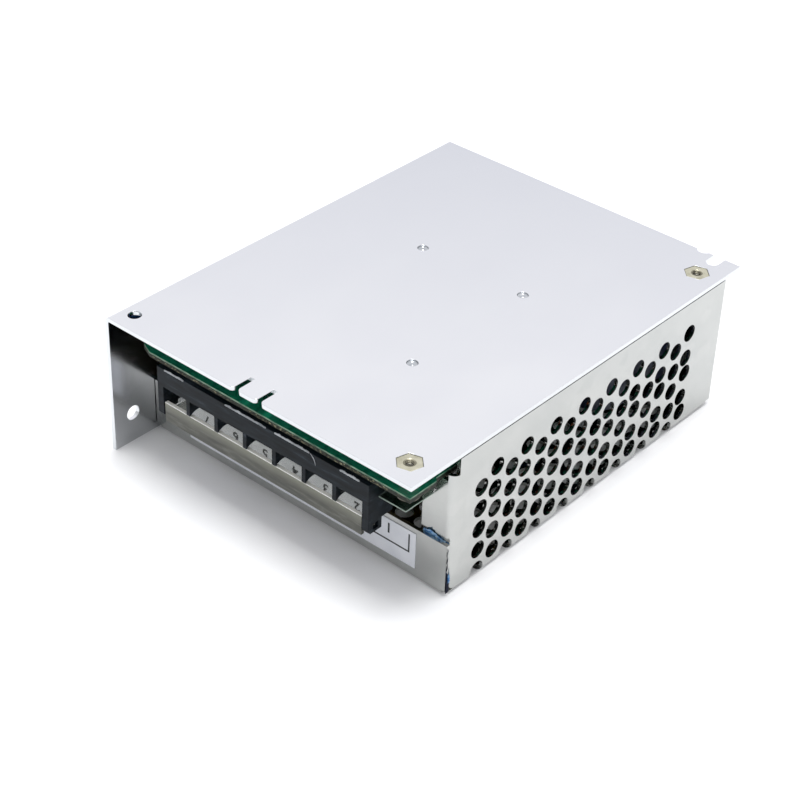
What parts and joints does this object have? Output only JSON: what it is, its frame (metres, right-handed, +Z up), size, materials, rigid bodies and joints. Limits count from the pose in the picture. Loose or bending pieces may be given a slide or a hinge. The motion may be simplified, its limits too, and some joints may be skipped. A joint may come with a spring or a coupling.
{
  "type": "mesh case switching power supply",
  "caption": "Open-ended mesh case power supply with a folded base, a perforated folded cover and a barrier terminal block under a clear hinged flap.",
  "frame": {"origin": "centre of the footprint, on the floor under the cover panel", "axes": "+Z up from the cover panel on the floor to the base plate, +Y from the terminal end to the rear end, +X from the solid side wall to the mesh side wall"},
  "size_m": [0.099, 0.129, 0.04],
  "materials": {
    "aluminium_sheet": "satin aluminium sheet",
    "steel_sheet": "zinc plated steel sheet",
    "label_paper": "matt white label",
    "blue_film": "blue protective film",
    "board": "green solder mask on glass fibre laminate",
    "nickel": "nickel plated steel",
    "zinc": "zinc plated steel",
    "clear_film": "clear polyester film",
    "black_plastic": "moulded dark plastic",
    "clear_plastic": "clear moulded plastic",
    "ferrite": "sintered ferrite",
    "tape": "yellow polyester tape",
    "copper": "enamelled copper wire",
    "sleeve": "shrink sleeve over an aluminium can",
    "yellow_case": "yellow moulded case",
    "blue_lacquer": "blue lacquer",
    "green_lacquer": "dark green lacquer",
    "glass": "clear glass tube",
    "device": "black epoxy",
    "pad": "grey silicone pad",
    "white_device": "white epoxy",
    "iron_powder": "yellow painted iron powder",
    "trimmer": "blue moulded plastic",
    "brass": "brass",
    "lens": "green tinted epoxy"
  },
  "bodies": {
    "case": {"chassis": "aluminium_sheet", "cover": "steel_sheet", "label": "label_paper", "protective_film": "blue_film", "pcb": "board", "corner_nuts": "nickel", "corner_screws": "zinc", "board_spacers": "zinc", "board_screws": "zinc", "cover_screws": "zinc", "insulating_film": "clear_film", "block_housing": "black_plastic", "block_contacts": "nickel", "block_washers": "nickel", "block_screws": "nickel", "transformer_core": "ferrite", "transformer_bobbin": "device", "transformer_winding": "tape", "bulk_capacitors": "sleeve", "output_capacitors": "sleeve", "choke_core": "ferrite", "choke_winding": "copper", "inductor_core": "iron_powder", "inductor_winding": "copper", "x_capacitor": "yellow_case", "y_capacitors": "blue_lacquer", "thermistor": "green_lacquer", "fuse_tube": "glass", "fuse_caps": "zinc", "bridge_rectifier": "device", "switch_transistor": "device", "output_rectifier": "device", "thermal_pads": "pad", "device_screws": "zinc", "optocoupler": "white_device", "controller_chip": "device", "trimmer_body": "trimmer", "indicator_led": "lens"},
    "flap": {"block_flap": "clear_plastic"},
    "rotor": {"trimmer_rotor": "brass"}
  },
  "joints": [
    {"name": "flap_hinge", "type": "hinge", "parent": "case", "child": "flap", "pos_m": [0, -0.0598, 0.01925], "axis": [-1, 0, 0], "range_deg": [0, 110]},
    {"name": "trimmer_turn", "type": "hinge", "parent": "case", "child": "rotor", "pos_m": [-0.036, -0.0445, 0.028], "axis": [0, 0, 1], "range_deg": [-135, 135]}
  ]
}
